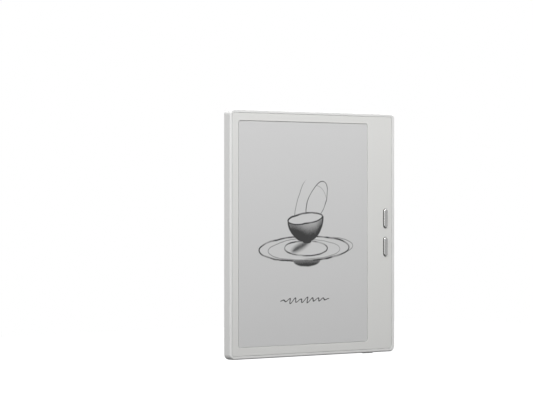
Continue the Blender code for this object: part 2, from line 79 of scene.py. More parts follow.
class Wire:
    """An output socket in a node tree, or the tree itself before anything is made in it."""

    def __init__(self, tree, socket=None):
        self.tree = tree
        self.socket = socket

    def node(self, kind, settings, inputs, output=0):
        """Add any node: its settings first, then the values or wires of its sockets."""
        made = self.tree.nodes.new("ShaderNode" + kind)
        for key, value in settings.items():
            setattr(made, key, value)
        for key, value in inputs.items():
            if isinstance(value, Wire):
                self.tree.links.new(value.socket, made.inputs[key])
            else:
                made.inputs[key].default_value = value
        return Wire(self.tree, made.outputs[output])

    def math(self, operation, *values):
        return self.node("Math", {"operation": operation}, dict(enumerate(values)))

    def __add__(self, other):
        return self.math("ADD", self, other)

    def __sub__(self, other):
        return self.math("SUBTRACT", self, other)

    def __rsub__(self, other):
        return self.math("SUBTRACT", other, self)

    def __mul__(self, other):
        return self.math("MULTIPLY", self, other)

    def __truediv__(self, other):
        return self.math("DIVIDE", self, other)

    def __neg__(self):
        return self.math("MULTIPLY", self, -1.0)

    __radd__ = __add__
    __rmul__ = __mul__

    def root(self):
        return self.math("SQRT", self)

    def size(self):
        return self.math("ABSOLUTE", self)

    def sine(self):
        return self.math("SINE", self)

    def least(self, other):
        return self.math("MINIMUM", self, other)

    def most(self, other):
        return self.math("MAXIMUM", self, other)

    def fade(self, start, end):
        """0 up to start and 1 from end, smoothly between; start may be the larger."""
        low, high, first, last = (start, end, 0.0, 1.0) if start < end else (end, start, 1.0, 0.0)
        return self.node("MapRange", {"interpolation_type": "SMOOTHSTEP"},
                         {"Value": self, "From Min": low, "From Max": high, "To Min": first,
                          "To Max": last})

    def grey(self):
        """The same value in all three channels of a colour."""
        return self.node("CombineColor", {}, {0: self, 1: self, 2: self})

    def feed(self, shader, socket):
        """Link this wire into a shader's socket."""
        self.tree.links.new(self.socket, shader.inputs[socket])


def studio_mix(tree, seen, thrown):
    """One shader for what the camera sees directly and another for the light it throws."""
    wires = Wire(tree)
    ray = wires.node("LightPath", {}, {}, "Is Camera Ray")
    return wires.node("MixShader", {}, {0: ray, 1: thrown, 2: seen})


world = bpy.data.worlds.new("studio_air")
bpy.context.scene.world = world
world.use_nodes = True
air = Wire(world.node_tree)
direction = air.node("TexCoord", {}, {}, "Generated")


def towards(azimuth, elevation):
    """The direction from the object to a place round it; azimuth 0 is in front of the display."""
    turn = radians(azimuth)
    lift = radians(elevation)
    return Vector((sin(turn) * cos(lift), -cos(turn) * cos(lift), sin(lift)))


glow = AIR_GLOW
for azimuth, elevation, narrow, wide, strength in WALL_GLOWS:
    facing = air.node("VectorMath", {"operation": "DOT_PRODUCT"},
                      {0: direction, 1: towards(azimuth, elevation)}, "Value")
    glow = glow + facing.fade(cos(radians(wide)), cos(radians(narrow))) * strength
thrown_air = air.node("Background", {}, {"Color": glow.grey(), "Strength": 1.0})
seen_air = air.node("Background", {}, {"Color": (1.0, 1.0, 1.0, 1.0), "Strength": 1.0})
studio_mix(world.node_tree, seen_air, thrown_air).feed(world.node_tree.nodes["World Output"], "Surface")

floor_bm = bmesh.new()
bmesh.ops.create_grid(floor_bm, x_segments=1, y_segments=1, size=FLOOR_REACH)
bmesh.ops.translate(floor_bm, vec=(0.0, 0.0, FLOOR_LEVEL), verts=floor_bm.verts)
floor_mesh = bpy.data.meshes.new("floor")
floor_bm.to_mesh(floor_mesh)
floor_bm.free()
floor = bpy.data.objects.new("floor", floor_mesh)
bpy.context.scene.collection.objects.link(floor)
floor_paint = bpy.data.materials.new("floor_paint")
floor_paint.use_nodes = True
paint = Wire(floor_paint.node_tree)
matt_paint = paint.node("BsdfDiffuse", {}, {"Color": (FLOOR_PAINT, FLOOR_PAINT, FLOOR_PAINT, 1.0)})
paint_glow = paint.node("Emission", {}, {"Color": (1.0, 1.0, 1.0, 1.0), "Strength": FLOOR_GLOW})
lit_paint = paint.node("AddShader", {}, {0: matt_paint, 1: paint_glow})
floor_place = paint.node("TexCoord", {}, {}, "Object")
off_centre = paint.node("VectorMath", {"operation": "LENGTH"}, {0: floor_place}, "Value")
cloth = CLOTH_DARK + off_centre.fade(*CLOTH_EDGE) * CLOTH_GAIN
dark_paint = paint.node("BsdfDiffuse", {}, {"Color": cloth.grey()})
studio_mix(floor_paint.node_tree, lit_paint, dark_paint).feed(
    floor_paint.node_tree.nodes["Material Output"], "Surface")
floor_mesh.materials.append(floor_paint)


def soft_light(name, azimuth, elevation, distance, width, power):
    """A square soft light that faces the object."""
    away = towards(azimuth, elevation)
    light = bpy.data.objects.new(name, bpy.data.lights.new(name, "AREA"))
    light.data.shape = "SQUARE"
    light.data.size = width
    light.data.energy = power
    light.location = away * distance
    light.rotation_euler = away.to_track_quat("Z", "Y").to_euler()
    light.visible_camera = False
    bpy.context.scene.collection.objects.link(light)


soft_light("key_light", azimuth=-8.0, elevation=55.0, distance=0.75, width=0.4, power=3.35)
soft_light("back_light", azimuth=160.0, elevation=50.0, distance=0.9, width=0.4, power=6.4)
soft_light("side_light", azimuth=105.0, elevation=32.0, distance=0.8, width=0.3, power=2.2)
soft_light("edge_light", azimuth=-76.0, elevation=8.0, distance=0.9, width=0.16, power=0.6)
soft_light("top_light", azimuth=180.0, elevation=80.0, distance=0.8, width=0.25, power=1.5)


# ---------------------------------------------------------------- Mid frame
# The moulded white rim that everything is built into: polycarbonate with a fine spark-eroded satin and
# rounded edges. It has pockets for the front plate and the back, screw tabs, a shelf for the page
# switches, and openings in its right side and lower side.

# From here on lengths are in millimetres, and MM turns them into metres.
MM = 0.001
WIDTH = 137.0
HEIGHT = 156.0
RIM_FRONT_Y = -6.8
RIM_BACK_Y = -0.05
CORNER = 3.5
EDGE_ROUND = 0.95
SHARP = radians(38)
FINE_ROUND = 0.07
END_FLAT = 0.002


def slab(low, high, axis, corner=0.0, segments=10):
    """A box between two corners; its edges along one axis are rounded."""
    bm = bmesh.new()
    bmesh.ops.create_cube(bm, size=1.0)
    bmesh.ops.scale(bm, vec=(Vector(high) - Vector(low)) * MM, verts=bm.verts)
    bmesh.ops.translate(bm, vec=(Vector(high) + Vector(low)) * MM / 2, verts=bm.verts)
    if corner:
        round_edges(bm, corner, segments, lambda edge: runs_along(edge, axis))
    return bm


def runs_along(edge, axis):
    """Whether an edge is parallel to an axis."""
    span = edge.verts[0].co - edge.verts[1].co
    return abs(span["XYZ".index(axis)]) > 0.999 * span.length


def lies_at(edge, axis, place):
    """Whether both ends of an edge lie in the plane across an axis at a place."""
    return all(abs(vert.co["XYZ".index(axis)] - place * MM) < 0.001 * MM for vert in edge.verts)


def round_edges(bm, width, segments, chosen):
    """Round the chosen edges."""
    edges = [edge for edge in bm.edges if chosen(edge)]
    bmesh.ops.bevel(bm, geom=edges, offset=width * MM, offset_type="OFFSET", segments=segments, profile=0.5,
                    affect="EDGES", material=-1, clamp_overlap=True)


def pill(low, high, axis, segments=10):
    """A box whose ends along its longer side are half-round, closed up where the rounds meet."""
    across = min(high[i] - low[i] for i in range(3) if i != "XYZ".index(axis))
    bm = slab(low, high, axis, across / 2 - END_FLAT, segments)
    bmesh.ops.remove_doubles(bm, verts=bm.verts, dist=3 * END_FLAT * MM)
    return bm


def settled(bm, steps):
    """The mesh of a bmesh after modifiers: (type, settings) pairs, where an object may be a bmesh."""
    mesh = bpy.data.meshes.new("draft")
    bm.to_mesh(mesh)
    bm.free()
    draft = bpy.data.objects.new("draft", mesh)
    bpy.context.scene.collection.objects.link(draft)
    tools = []
    for kind, settings in steps:
        modifier = draft.modifiers.new(kind, kind)
        for key, value in settings.items():
            if isinstance(value, bmesh.types.BMesh):
                tool_mesh = bpy.data.meshes.new("tool")
                value.to_mesh(tool_mesh)
                value.free()
                value = bpy.data.objects.new("tool", tool_mesh)
                bpy.context.scene.collection.objects.link(value)
                tools.append(value)
            setattr(modifier, key, value)
    bpy.context.view_layer.update()
    made = bpy.data.meshes.new_from_object(draft.evaluated_get(bpy.context.evaluated_depsgraph_get()))
    for spare in [draft, *tools]:
        bpy.data.objects.remove(spare)
    return made


def carved(bm, *tools):
    """Cut solids out of a bmesh, or join them on: (operation, bmesh) pairs."""
    made = bmesh.new()
    made.from_mesh(settled(bm, [("BOOLEAN", {"operation": operation, "object": tool, "solver": "EXACT"})
                                for operation, tool in tools]))
    bmesh.ops.remove_doubles(made, verts=made.verts, dist=0.0001 * MM)
    return made


def together(*solids):
    """Several separate solids in one bmesh."""
    made = bmesh.new()
    for solid in solids:
        mesh = bpy.data.meshes.new("part")
        solid.to_mesh(mesh)
        solid.free()
        made.from_mesh(mesh)
        bpy.data.meshes.remove(mesh)
    return made


def piece(name, bm, coat, body, slot, *replaced, fine=FINE_ROUND):
    """Make a piece from a bmesh, with fine rounding of its sharp edges, and put it in the model."""
    steps = []
    if fine:
        steps.append(("BEVEL", {"width": fine * MM, "segments": 2, "limit_method": "ANGLE",
                                "angle_limit": SHARP, "use_clamp_overlap": True, "harden_normals": False}))
    bm.normal_update()
    mesh = settled(bm, steps)
    mesh.name = name
    mesh.materials.clear()
    mesh.materials.append(coat)
    made = bpy.data.objects.new(name, mesh)
    bpy.context.scene.collection.objects.link(made)
    mesh.shade_smooth()
    mesh.set_sharp_from_angle(angle=SHARP)
    modifier = made.modifiers.new("flat_faces_stay_flat", "WEIGHTED_NORMAL")
    modifier.keep_sharp = True
    modifier.weight = 100
    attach(made, body)
    if replaced:
        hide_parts(*replaced)
    return made


def finish(name, constants):
    """A new material: the material, its Principled shader and a Wire to build patterns with."""
    made = bpy.data.materials.new(name)
    made.use_nodes = True
    shader = made.node_tree.nodes["Principled BSDF"]
    for socket, value in constants.items():
        shader.inputs[socket].default_value = value
    return made, shader, Wire(made.node_tree)


def noise(wires, size, detail=2.0, roughness=0.5, stretch=(1.0, 1.0, 1.0)):
    """Noise on Object coordinates whose grains are of a size, from about 0 to 1."""
    place = wires.node("TexCoord", {}, {}, "Object")
    place = wires.node("VectorMath", {"operation": "MULTIPLY"}, {0: place, 1: stretch})
    return wires.node("TexNoise", {}, {"Vector": place, "Scale": 1.0 / (size * MM), "Detail": detail,
                                       "Roughness": roughness})


def mixed(wires, amount, first, second):
    """A colour between two colours."""
    return wires.node("Mix", {"data_type": "RGBA"}, {"Factor": amount, 6: first, 7: second}, 2)


def bumped(wires, shader, height, depth):
    """Feed a height pattern of a depth to a shader as a bump."""
    bump = wires.node("Bump", {}, {"Height": height, "Distance": depth * MM, "Strength": 1.0})
    bump.feed(shader, "Normal")


def moulded(name, color, roughness, grain=0.22, depth=0.0016):
    """Moulded plastic: faint flow marks in the colour and gloss, and a fine eroded grain."""
    made, shader, wires = finish(name, {"IOR": 1.5})
    flow = noise(wires, 28.0, 3.0)
    speck = noise(wires, grain, 3.0, 0.65)
    pale = [*color, 1.0]
    deep = [channel * 0.965 for channel in color] + [1.0]
    mixed(wires, flow * 0.6 + speck * 0.4, deep, pale).feed(shader, "Base Color")
    (roughness - 0.05 + speck * 0.07 + flow * 0.03).feed(shader, "Roughness")
    bumped(wires, shader, speck, depth)
    return made


frame_plastic = moulded("white_satin_plastic", (0.83, 0.83, 0.82), 0.34)

USB_Y = -2.95
USB_Z = 68.8
GRILLE_Y = -3.6
GRILLE_HALF = (1.0, 0.575)
GRILLE_PITCH = 2.03
GRILLE_COUNT = 8
GRILLE_CENTRES = (53.5, -61.6)
GRILLE_START_X = 64.0
TRAY_Y = -2.9
TRAY_Z = 27.7
PINHOLE_Z = 34.6
POWER_X = 47.5
POWER_Y = -3.4
WALL = 3.2
PLATE_SHIFT = -0.5
SIDE = WIDTH / 2
TOP = HEIGHT / 2
FRONT_LEDGE_Y = -6.0
BACK_LEDGE_Y = -1.0
# How far in from the body's outline each outline lies, and its corner.
FRONT_POCKET = (2.1, 1.4)
BACK_POCKET = (2.0, 1.6)
INSIDE = (WALL, 1.0)
# Places that cutters reach to, clear of the body.
PAST_FRONT = -12.0
PAST_BACK = 5.0
PAST_RIGHT = 72.0
PAST_BOTTOM = -80.0
PAST_TAB_Y = (-3.7, -2.5)
# Screw tabs: lowest and highest X, then lowest and highest Z.
TABS = ((-66.5, -58.3, 68.2, 76.0), (-66.5, -58.3, -76.0, -68.2), (16.8, 23.2, 68.2, 76.0),
        (30.8, 37.2, -76.0, -68.2))
TAB_Y = (-3.45, -2.75)
TAB_HOLE = 0.85
SCREW_PLACES = ((-61.5, 71.2), (-61.5, -71.2), (20.0, 71.2), (34.0, -71.2))
SWITCH_SHELF = ((56.5, -3.7, -19.0), (66.5, -3.3, 19.0))
# Half sizes of the openings in the right side and in the lower side.
USB_HOLE = (1.75, 4.62)
USB_START_X = 60.0
TRAY_RECESS = (1.3, 8.175)
TRAY_RECESS_X = 67.2
TRAY_SLOT = ((64.0, -3.3, 20.2), (68.0, -2.0, 33.6))
EJECT_HOLE = 0.55
POWER_SLOT = (4.57, 1.12)
POWER_SLOT_TOP = -74.0


def body_inset(amount, corner, y_low, y_high, shift=0.0):
    """A slab with the body's outline moved in by an amount, and sideways by a shift."""
    return slab((shift - SIDE + amount, y_low, -TOP + amount),
                (shift + SIDE - amount, y_high, TOP - amount), "Y", corner)


def sound_holes():
    """Cutters for both rows of sound holes."""
    return [pill((GRILLE_START_X, GRILLE_Y - GRILLE_HALF[0], z - GRILLE_HALF[1]),
                 (PAST_RIGHT, GRILLE_Y + GRILLE_HALF[0], z + GRILLE_HALF[1]), "X", 6)
            for centre in GRILLE_CENTRES
            for z in (centre + GRILLE_PITCH * (count - (GRILLE_COUNT - 1) / 2)
                      for count in range(GRILLE_COUNT))]


rim = slab((-SIDE, RIM_FRONT_Y, -TOP), (SIDE, RIM_BACK_Y, TOP), "Y", CORNER, 12)
round_edges(rim, EDGE_ROUND, 6,
            lambda edge: lies_at(edge, "Y", RIM_FRONT_Y) or lies_at(edge, "Y", RIM_BACK_Y))
tabs = [slab((x_low, TAB_Y[0], z_low), (x_high, TAB_Y[1], z_high), "Y")
        for x_low, x_high, z_low, z_high in TABS]
tab_holes = [pill((x - TAB_HOLE, PAST_TAB_Y[0], z - TAB_HOLE),
                  (x + TAB_HOLE, PAST_TAB_Y[1], z + TAB_HOLE), "Y", 6) for x, z in SCREW_PLACES]
rim = carved(
    rim,
    ("DIFFERENCE", body_inset(*FRONT_POCKET, PAST_FRONT, FRONT_LEDGE_Y, PLATE_SHIFT)),
    ("DIFFERENCE", body_inset(*BACK_POCKET, BACK_LEDGE_Y, PAST_BACK)),
    ("DIFFERENCE", body_inset(*INSIDE, PAST_FRONT, PAST_BACK)),
    ("UNION", together(*tabs, slab(*SWITCH_SHELF, "Y"))),
    ("DIFFERENCE", together(
        *tab_holes,
        *sound_holes(),
        pill((USB_START_X, USB_Y - USB_HOLE[0], USB_Z - USB_HOLE[1]),
             (PAST_RIGHT, USB_Y + USB_HOLE[0], USB_Z + USB_HOLE[1]), "X"),
        slab((TRAY_RECESS_X, TRAY_Y - TRAY_RECESS[0], TRAY_Z - TRAY_RECESS[1]),
             (PAST_RIGHT, TRAY_Y + TRAY_RECESS[0], TRAY_Z + TRAY_RECESS[1]), "X", 0.7, 5),
        pill((POWER_X - POWER_SLOT[0], POWER_Y - POWER_SLOT[1], PAST_BOTTOM),
             (POWER_X + POWER_SLOT[0], POWER_Y + POWER_SLOT[1], POWER_SLOT_TOP), "Z"))),
    ("DIFFERENCE", together(
        slab(*TRAY_SLOT, "X", 0.3, 3),
        pill((TRAY_SLOT[0][0], TRAY_Y - EJECT_HOLE, PINHOLE_Z - EJECT_HOLE),
             (TRAY_SLOT[1][0], TRAY_Y + EJECT_HOLE, PINHOLE_Z + EJECT_HOLE), "X", 5))),
)
piece("body_rim", rim, frame_plastic, "reader", "frame_plastic", "mid_frame")

# ---------------------------------------------------------------- Front bezel
# A moulded plate let into the rim, in a slightly warmer and duller white. The display window has a
# small rounded lip, and the page keys come through two slots in the wide margin.
BEZEL_FRONT_Y = -6.75
BEZEL_BACK_Y = -6.1
WINDOW_LOW = (-61.9, -70.7)
WINDOW_HIGH = (44.9, 70.9)
KEY_X = 60.4
KEY_Z = 9.25
KEY_HALF = (1.625, 6.125)
KEY_GAP = 0.35
LIP = 0.2
PLATE_OUTLINE = (2.3, 1.2)
WINDOW_CORNER = 1.6
CUT_Y = (-9.0, -3.0)

bezel_plastic = moulded("warm_matt_plastic", (0.785, 0.785, 0.767), 0.5, 0.3, 0.0022)
key_slots = [pill((KEY_X - KEY_HALF[0] - KEY_GAP, CUT_Y[0], side * KEY_Z - KEY_HALF[1] - KEY_GAP),
                  (KEY_X + KEY_HALF[0] + KEY_GAP, CUT_Y[1], side * KEY_Z + KEY_HALF[1] + KEY_GAP), "Y", 10)
             for side in (1, -1)]
window = slab((WINDOW_LOW[0], CUT_Y[0], WINDOW_LOW[1]), (WINDOW_HIGH[0], CUT_Y[1], WINDOW_HIGH[1]),
              "Y", WINDOW_CORNER, 8)
plate = carved(body_inset(*PLATE_OUTLINE, BEZEL_FRONT_Y, BEZEL_BACK_Y, PLATE_SHIFT),
               ("DIFFERENCE", together(window, *key_slots)))


def on_window_lip(edge):
    """Whether an edge is on the front of the window's opening."""
    middle = (edge.verts[0].co + edge.verts[1].co) / 2
    inside = (WINDOW_LOW[0] - 1 < middle.x / MM < WINDOW_HIGH[0] + 1
              and WINDOW_LOW[1] - 1 < middle.z / MM < WINDOW_HIGH[1] + 1)
    flat = all(abs(face.normal.y) > 0.9 for face in edge.link_faces)
    return lies_at(edge, "Y", BEZEL_FRONT_Y) and inside and not flat


round_edges(plate, LIP, 3, on_window_lip)
piece("front_plate", plate, bezel_plastic, "reader", "bezel_plastic", "front_bezel", fine=0.06)

# ---------------------------------------------------------------- Display surface
# The anti-glare sheet over the ink panel, bonded behind the front plate. Its raised land fills the
# window almost to the front, with a narrow dark gap all round. The panel under it shows a grey page
# with a pencil drawing: a tea bowl on rippled water, thin leaves, and a wavy line below them.
PAGE_CENTRE = ((WINDOW_LOW[0] + WINDOW_HIGH[0]) / 2, (WINDOW_LOW[1] + WINDOW_HIGH[1]) / 2)
SHAKE_WIDTH = 1.5
page_film, page_shader, page = finish("display_film", {"IOR": 1.45, "Roughness": 0.5})
where = page.node("TexCoord", {}, {}, "Object")
shake = page.node("TexNoise", {}, {"Vector": where, "Scale": 90.0, "Detail": 2.0}, "Color")
page_x = (page.node("SeparateXYZ", {}, {0: where}, "X") / MM - PAGE_CENTRE[0]
          + (page.node("SeparateColor", {}, {0: shake}, 0) - 0.5) * SHAKE_WIDTH)
page_z = (page.node("SeparateXYZ", {}, {0: where}, "Z") / MM - PAGE_CENTRE[1]
          + (page.node("SeparateColor", {}, {0: shake}, 1) - 0.5) * SHAKE_WIDTH)
pressure = noise(page, 9.0, 1.0).fade(0.3, 0.65)
graphite = 0.85 + noise(page, 0.4, 2.0, 0.6, (1.0, 1.0, 0.45)) * 0.45


def oval(centre, half, tilt):
    """How far a point lies outside an oval's outline in millimetres, and its place along both axes."""
    turn = radians(tilt)
    across = (page_x - centre[0]) * cos(turn) + (page_z - centre[1]) * sin(turn)
    up = (page_z - centre[1]) * cos(turn) - (page_x - centre[0]) * sin(turn)
    a = across / half[0]
    b = up / half[1]
    reach = (a * a + b * b).root()
    steep = (a * a / half[0] ** 2 + b * b / half[1] ** 2).root() + 0.0001
    return reach * (reach - 1.0) / steep, across, up


def stroke(distance, width, weight):
    """A soft pencil line along a distance of nothing."""
    return distance.size().fade(width, width * 0.25) * weight


rim_out, _, rim_up = oval((0.7, 9.4), (14.3, 3.3), 6.5)
bowl_out, bowl_across, bowl_up = oval((0.9, 9.6), (14.3, 14.6), 6.5)
below_rim = rim_out.fade(-0.2, 0.2) * rim_up.fade(0.3, -0.3)
bowl_fill = bowl_out.fade(0.2, -0.4) * below_rim
bowl_shade = bowl_fill * (0.22 + bowl_up.fade(-1.5, -12.5) * 0.7 + bowl_across.fade(2.0, -12.0) * 0.45
                          + bowl_across.fade(7.0, 14.0) * 0.4)
foot_out, _, _ = oval((2.1, -5.1), (3.9, 1.9), 4.0)
pond_out, _, _ = oval((0.2, -9.7), (37.2, 7.8), 1.0)
echo_out, _, _ = oval((5.4, -9.6), (35.0, 7.1), 2.6)
middle_out, middle_across, _ = oval((4.0, -9.9), (25.5, 6.0), -1.0)
ring_out, _, _ = oval((1.4, -9.5), (17.6, 4.7), 0.0)
under_out, _, under_up = oval((1.9, -16.9), (11.8, 4.6), 0.5)
smudge_out, _, _ = oval((-3.2, -8.4), (8.0, 2.3), 24.0)
leaf_out, _, _ = oval((10.2, 20.2), (14.0, 7.0), 62.0)
thin_out, thin_across, thin_up = oval((-0.5, 20.0), (17.0, 5.4), 70.0)
vein_out, _, _ = oval((3.0, 16.0), (17.0, 13.0), 40.0)
above_rim = rim_out.fade(-0.3, 0.5) * page_z.fade(8.5, 10.0)
behind = bowl_out.fade(0.0, 0.5)
ink = stroke(rim_out, 0.8, 0.7 + pressure * 0.4)
ink = ink.most(stroke(bowl_out, 1.0, 1.0) * below_rim)
ink = ink.most(bowl_shade)
ink = ink.most(foot_out.fade(0.2, -0.8))
ink = ink.most(stroke(pond_out, 0.75, 0.45 + pressure * 0.6) * behind)
ink = ink.most(stroke(echo_out, 0.45, 0.5) * behind)
ink = ink.most(stroke(middle_out, 0.42, 0.42) * middle_across.fade(-8.0, 2.0) * behind)
ink = ink.most(stroke(ring_out, 0.7, 0.3 + pressure * 0.65) * behind)
ink = ink.most(smudge_out.fade(1.8, -2.4) * 0.8 * behind)
ink = ink.most(under_out.fade(0.2, -0.9) * under_up.fade(0.25, -0.25)
               * (0.72 + under_up.fade(-0.5, -4.0) * 0.28))
ink = ink.most(stroke(leaf_out, 0.5, 0.5 + pressure * 0.35) * above_rim)
ink = ink.most(stroke(thin_out, 0.42, 0.55) * thin_up.fade(-1.5, 1.5) * thin_across.fade(15.0, 9.0)
               * above_rim)
ink = ink.most(stroke(vein_out, 0.4, 0.32) * leaf_out.fade(0.0, -0.8) * above_rim)

# The wavy line leans to the right, swells in the middle and dies out at both ends.
WAVE_DOWN = 42.4
wave_x = page_x - (page_z + WAVE_DOWN) * 0.6
swell = wave_x.fade(-20.5, -8.0) * wave_x.fade(21.5, 4.0)
height_now = 0.3 + swell * (1.1 + (wave_x * 0.5 + 0.6).sine() * 0.5)
beat = wave_x * 1.35
off_line = page_z + WAVE_DOWN - beat.sine() * height_now
lean = (beat + pi / 2).sine() * height_now * 1.35
wave_ends = wave_x.fade(-20.0, -19.0) * wave_x.fade(20.6, 19.6)
ink = ink.most((off_line.size() / (1.0 + lean * lean).root()).fade(0.5, 0.15) * wave_ends)

paper = noise(page, 0.3, 2.0, 0.7)
page_tone = mixed(page, paper, (0.655, 0.655, 0.655, 1.0), (0.705, 0.705, 0.705, 1.0))
page_mask = (ink * graphite).least(0.96)
mixed(page, page_mask, page_tone, (0.02, 0.02, 0.021, 1.0)).feed(page_shader, "Base Color")
(0.48 + paper * 0.1).feed(page_shader, "Roughness")
bumped(page, page_shader, paper, 0.0008)
LAND_GAP = 0.25
LAND_FRONT_Y = -6.6


def around_window(border, corner, y_low, y_high):
    """A slab with the window's outline grown by a border."""
    return slab((WINDOW_LOW[0] - border, y_low, WINDOW_LOW[1] - border),
                (WINDOW_HIGH[0] + border, y_high, WINDOW_HIGH[1] + border), "Y", corner, 8)


film = carved(around_window(2.8, 0.8, -5.95, -5.65),
              ("UNION", around_window(-LAND_GAP, WINDOW_CORNER - LAND_GAP, LAND_FRONT_Y, -5.8)))
piece("display_surface", film, page_film, "reader", "display_film", "touch_film")

# ---------------------------------------------------------------- Page keys
# Two pills of bead-blasted aluminium with a bright chamfer, standing proud of the wide margin. Their
# sides and the flange behind the front plate that keeps each one in are painted near black: painted
# shade, standing for the shade in the slot round each key. A rubber pad under it presses the switch.
KEY_TOP_Y = -7.45
KEY_CHAMFER = 0.3
# Behind this place in Y the keys are painted near black: painted shade in their slots.
KEY_SHADE_Y = -7.12
KEY_ROOT_Y = -5.7
KEY_FLANGE_HALF = (2.6, 7.3)
KEY_FLANGE_Y = (-5.95, -5.45)
PAD_HALF = 1.5
PAD_Y = (-5.4, -5.0)


def along(wires, axis):
    """The Object coordinate along one axis, in metres."""
    return wires.node("SeparateXYZ", {}, {0: wires.node("TexCoord", {}, {}, "Object")}, axis)


def blasted(name, color, roughness, grain, depth, painted_shade_behind=None):
    """Bare metal with a fine blasted surface and slow changes of gloss; behind a place in Y it is painted
    near black, as painted shade.
    """
    made, shader, wires = finish(name, {"Metallic": 1.0})
    speck = noise(wires, grain, 3.0, 0.7)
    cloud = noise(wires, 6.0, 2.0)
    dull = [channel * 0.93 for channel in color] + [1.0]
    tone = mixed(wires, speck * 0.5 + cloud * 0.5, dull, [*color, 1.0])
    if painted_shade_behind is not None:
        place_y = along(wires, "Y") / MM
        # Painted shade: behind this place in Y the metal is painted near black, standing for the shade in
        # the slot round the part.
        tone = mixed(wires, place_y.fade(painted_shade_behind, painted_shade_behind + 0.05), tone, (0.03, 0.03, 0.032, 1.0))
    tone.feed(shader, "Base Color")
    (roughness - 0.06 + speck * 0.08 + cloud * 0.05).feed(shader, "Roughness")
    bumped(wires, shader, speck, depth)
    return made


# The keys' sides and flange are painted near black behind KEY_SHADE_Y, as painted shade in their slots.
key_metal = blasted("blasted_aluminium", (0.8, 0.8, 0.795), 0.2, 0.12, 0.0001, KEY_SHADE_Y)
key_rubber = moulded("key_rubber", (0.05, 0.05, 0.052), 0.75, 0.2, 0.003)
for name, side_up in (("upper", 1), ("lower", -1)):
    middle_z = side_up * KEY_Z
    key = pill((KEY_X - KEY_HALF[0], KEY_TOP_Y, middle_z - KEY_HALF[1]),
               (KEY_X + KEY_HALF[0], KEY_ROOT_Y, middle_z + KEY_HALF[1]), "Y", 12)
    round_edges(key, KEY_CHAMFER, 1, lambda edge: lies_at(edge, "Y", KEY_TOP_Y))
    flange = slab((KEY_X - KEY_FLANGE_HALF[0], KEY_FLANGE_Y[0], middle_z - KEY_FLANGE_HALF[1]),
                  (KEY_X + KEY_FLANGE_HALF[0], KEY_FLANGE_Y[1], middle_z + KEY_FLANGE_HALF[1]), "Y", 1.2, 5)
    piece("page_key_cap_" + name, carved(key, ("UNION", flange)), key_metal, name + "_page_key",
          "key_metal", "page_key_" + name, fine=0.04)
    pad = slab((KEY_X - PAD_HALF, PAD_Y[0], middle_z - PAD_HALF),
               (KEY_X + PAD_HALF, PAD_Y[1], middle_z + PAD_HALF), "Y", 0.5, 4)
    piece("page_key_rubber_" + name, pad, key_rubber, name + "_page_key", "key_rubber",
          "page_key_pad_" + name)

# ---------------------------------------------------------------- Power key
# A narrow bar of aluminium in the lower side, with rounded edges, held in by a flange
# on the inside of the rim. Its colour is painted darker than the page keys' metal: painted shade, for the
# shade it sits in on the lower side.
POWER_END_Z = -78.5
POWER_ROOT_Z = -74.4
POWER_FLANGE_Z = -74.85
POWER_HALF = (4.4, 0.95)
# Painted shade: this silver metal is given a dark grey colour to stand for the shade on the reader's lower
# side.
power_metal = blasted("aluminium_darkened_as_painted_shade", (0.4, 0.4, 0.41), 0.28, 0.12, 0.0001)
low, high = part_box("power_key")
bar = pill((POWER_X - POWER_HALF[0], POWER_Y - POWER_HALF[1], POWER_END_Z),
           (POWER_X + POWER_HALF[0], POWER_Y + POWER_HALF[1], POWER_ROOT_Z), "Z", 10)
round_edges(bar, 0.3, 5, lambda edge: lies_at(edge, "Z", POWER_END_Z))
bar_flange = slab((low.x / MM, low.y / MM, POWER_FLANGE_Z), (high.x / MM, high.y / MM, high.z / MM),
                  "Z", 0.4, 3)
piece("power_key_bar", carved(bar, ("UNION", bar_flange)), power_metal, "power_button", "power_metal",
      "power_key", fine=0)

# ---------------------------------------------------------------- Charging socket
# A drawn steel shell, open to the right, soldered to the board behind its hole in the rim, and a
# moulded black tongue in the middle with a row of gilt contacts on both faces.
usb_steel = blasted("nickelled_steel", (0.62, 0.61, 0.59), 0.26, 0.15, 0.0002)
black_plastic = moulded("black_glass_filled_plastic", (0.028, 0.028, 0.03), 0.5, 0.18, 0.0015)
SHELL_WALL = 0.3
low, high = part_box("usb_c_shell")
shell = pill(low / MM, high / MM, "X", 12)
mouth = pill((low.x / MM + SHELL_WALL, low.y / MM + SHELL_WALL, low.z / MM + SHELL_WALL),
             (high.x / MM + 1.0, high.y / MM - SHELL_WALL, high.z / MM - SHELL_WALL), "X", 12)
piece("charging_shell", carved(shell, ("DIFFERENCE", mouth)), usb_steel, "reader", "usb_steel",
      "usb_c_shell", fine=0.09)
BLADE_HALF = (0.33, 3.35)
CONTACT_FACE = 0.35
CONTACT_PITCH = 0.5
CONTACT_COUNT = 12
CONTACT_HALF = 0.13
CONTACT_START_X = 63.4
low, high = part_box("usb_c_tongue")
tongue_base = pill((low.x / MM, low.y / MM, low.z / MM), (62.8, high.y / MM, high.z / MM), "X", 8)
blade = slab((62.5, USB_Y - BLADE_HALF[0], USB_Z - BLADE_HALF[1]),
             (high.x / MM, USB_Y + BLADE_HALF[0], USB_Z + BLADE_HALF[1]), "X", 0.12, 2)
contacts = [slab((CONTACT_START_X, USB_Y - CONTACT_FACE, z - CONTACT_HALF),
                 (high.x / MM - 0.4, USB_Y + CONTACT_FACE, z + CONTACT_HALF), "X")
            for z in (USB_Z + CONTACT_PITCH * (count - (CONTACT_COUNT - 1) / 2)
                      for count in range(CONTACT_COUNT))]
tongue_finish, tongue_shader, tongue_wires = finish("tongue_with_gilt_contacts", {"IOR": 1.5})
off_blade = (along(tongue_wires, "Y") / MM - USB_Y).size()
gilt = off_blade.fade(BLADE_HALF[0] + 0.004, CONTACT_FACE - 0.004) * off_blade.fade(0.42, 0.4)
wear = noise(tongue_wires, 0.3, 2.0)
